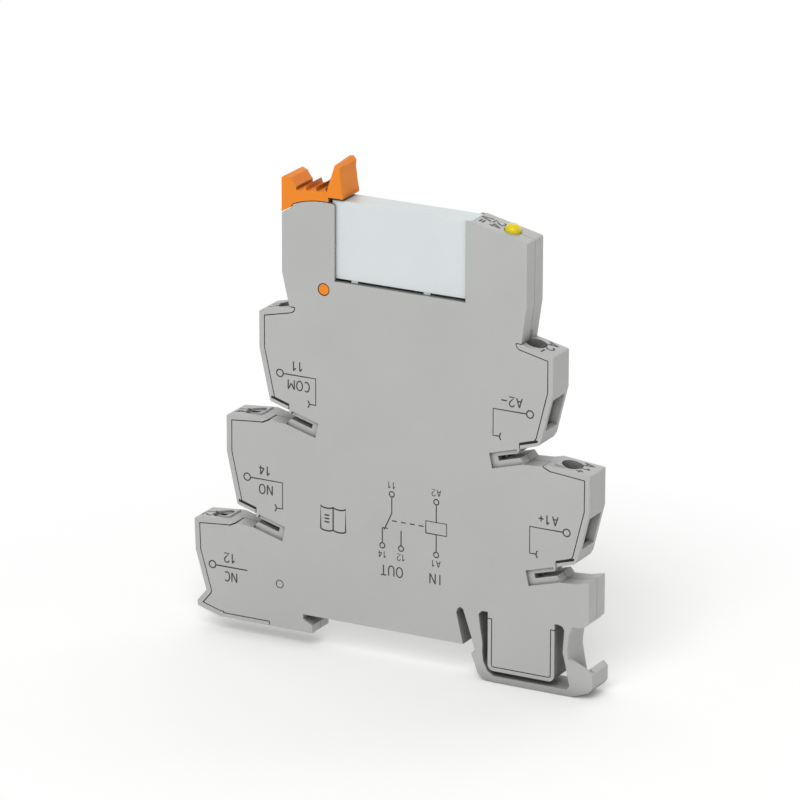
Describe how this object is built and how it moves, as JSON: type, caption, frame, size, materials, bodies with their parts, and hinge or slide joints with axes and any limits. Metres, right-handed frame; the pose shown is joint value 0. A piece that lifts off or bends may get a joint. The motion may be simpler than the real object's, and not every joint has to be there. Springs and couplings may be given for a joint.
{
  "type": "relay module",
  "caption": "Slim plug-in relay module for a 35 mm rail: stepped two-part housing, clamp terminals at both ends, relay with eject lever and status lamp.",
  "frame": {"origin": "middle of the rail seat, in the module's mid-plane", "axes": "+X along the module towards the coil terminals, +Y along the rail, +Z away from the rail"},
  "size_m": [0.0811, 0.0062, 0.0923],
  "materials": {
    "housing_grey": "fine satin moulded polyamide",
    "orange": "satin moulded plastic",
    "relay_white": "semi-gloss moulded plastic",
    "black_plastic": "moulded",
    "copper_wire": "enamelled wire",
    "nickel_steel": "nickel plated",
    "plated_steel": "zinc plated",
    "yellow_lens": "clear tinted lens",
    "board_green": "solder mask",
    "chip_black": "moulded epoxy",
    "tinned_brass": "tin plated"
  },
  "bodies": {
    "housing": {"front_shell": "housing_grey", "rear_shell": "housing_grey", "circuit_board": "board_green", "board_diodes": "chip_black", "board_resistors": "chip_black", "suppressor": "chip_black", "lamp_chip": "chip_black", "lamp_lens": "yellow_lens", "coil_socket_1": "tinned_brass", "coil_socket_2": "tinned_brass", "current_bar_11": "tinned_brass", "current_bar_14": "tinned_brass", "current_bar_12": "tinned_brass", "current_bar_a2": "tinned_brass", "current_bar_a1": "tinned_brass"},
    "lever": {"eject_lever": "orange"},
    "relay": {"relay_case": "relay_white", "relay_base": "black_plastic", "relay_bobbin": "black_plastic", "relay_winding": "copper_wire", "relay_core": "nickel_steel", "relay_yoke": "nickel_steel", "contact_nc": "tinned_brass", "contact_no": "tinned_brass", "common_pin": "tinned_brass", "coil_pin_1": "tinned_brass", "coil_pin_2": "tinned_brass"},
    "armature": {"relay_armature": "nickel_steel"},
    "card": {"actuator_card": "black_plastic"},
    "blade": {"contact_blade": "tinned_brass"},
    "screw_11": {"terminal_screw_11": "plated_steel"},
    "clamp_11": {"clamp_cage_11": "plated_steel"},
    "screw_14": {"terminal_screw_14": "plated_steel"},
    "clamp_14": {"clamp_cage_14": "plated_steel"},
    "screw_12": {"terminal_screw_12": "plated_steel"},
    "clamp_12": {"clamp_cage_12": "plated_steel"},
    "screw_a2": {"terminal_screw_a2": "plated_steel"},
    "clamp_a2": {"clamp_cage_a2": "plated_steel"},
    "screw_a1": {"terminal_screw_a1": "plated_steel"},
    "clamp_a1": {"clamp_cage_a1": "plated_steel"}
  },
  "joints": [
    {"name": "lever_swing", "type": "hinge", "parent": "housing", "child": "lever", "pos_m": [-0.01325, 0, 0.0623], "axis": [0, -1, 0], "range_deg": [0, 25]},
    {"name": "relay_lift", "type": "slide", "parent": "housing", "child": "relay", "axis": [0, 0, 1], "range_m": [0, 0.0021]},
    {"name": "armature_tilt", "type": "hinge", "parent": "relay", "child": "armature", "pos_m": [-0.0003, 0, 0.0696], "axis": [0, 1, 0], "range_deg": [0, 3.47], "stiffness_Nm_per_rad": 0.01, "springref_deg": -5.73},
    {"name": "card_slide", "type": "slide", "parent": "relay", "child": "card", "axis": [1, 0, 0], "range_m": [0, 0.00046]},
    {"name": "blade_flex", "type": "hinge", "parent": "relay", "child": "blade", "pos_m": [-0.0059, 0, 0.068], "axis": [0, 1, 0], "range_deg": [0, 2.87]},
    {"name": "screw_turn_11", "type": "hinge", "parent": "housing", "child": "screw_11", "pos_m": [-0.02205, 0, 0.0575], "axis": [0.2147, 0, -0.9767], "range_deg": [0, 1728.5]},
    {"name": "clamp_lift_11", "type": "slide", "parent": "housing", "child": "clamp_11", "axis": [-0.2147, 0, 0.9767], "range_m": [0, 0.0024]},
    {"name": "screw_turn_14", "type": "hinge", "parent": "housing", "child": "screw_14", "pos_m": [-0.0289, 0, 0.0367], "axis": [0.2147, 0, -0.9767], "range_deg": [0, 1728.5]},
    {"name": "clamp_lift_14", "type": "slide", "parent": "housing", "child": "clamp_14", "axis": [-0.2147, 0, 0.9767], "range_m": [0, 0.0024]},
    {"name": "screw_turn_12", "type": "hinge", "parent": "housing", "child": "screw_12", "pos_m": [-0.03575, 0, 0.0159], "axis": [0.2147, 0, -0.9767], "range_deg": [0, 1728.5]},
    {"name": "clamp_lift_12", "type": "slide", "parent": "housing", "child": "clamp_12", "axis": [-0.2147, 0, 0.9767], "range_m": [0, 0.0024]},
    {"name": "screw_turn_a2", "type": "hinge", "parent": "housing", "child": "screw_a2", "pos_m": [0.02775, 0, 0.05755], "axis": [-0.2147, 0, -0.9767], "range_deg": [0, 1728.5]},
    {"name": "clamp_lift_a2", "type": "slide", "parent": "housing", "child": "clamp_a2", "axis": [0.2147, 0, 0.9767], "range_m": [0, 0.0024]},
    {"name": "screw_turn_a1", "type": "hinge", "parent": "housing", "child": "screw_a1", "pos_m": [0.0352, 0, 0.0367], "axis": [-0.2147, 0, -0.9767], "range_deg": [0, 1728.5]},
    {"name": "clamp_lift_a1", "type": "slide", "parent": "housing", "child": "clamp_a1", "axis": [0.2147, 0, 0.9767], "range_m": [0, 0.0024]}
  ],
  "couplings": [
    {"joint": "relay_lift", "follows": "lever_swing", "m_per_rad": 0.0047},
    {"joint": "armature_tilt", "follows": "card_slide", "rad_per_m": 131.58},
    {"joint": "blade_flex", "follows": "card_slide", "rad_per_m": 108.7},
    {"joint": "screw_turn_11", "follows": "clamp_lift_11", "rad_per_m": 12566},
    {"joint": "screw_turn_14", "follows": "clamp_lift_14", "rad_per_m": 12566},
    {"joint": "screw_turn_12", "follows": "clamp_lift_12", "rad_per_m": 12566},
    {"joint": "screw_turn_a2", "follows": "clamp_lift_a2", "rad_per_m": 12566},
    {"joint": "screw_turn_a1", "follows": "clamp_lift_a1", "rad_per_m": 12566}
  ]
}
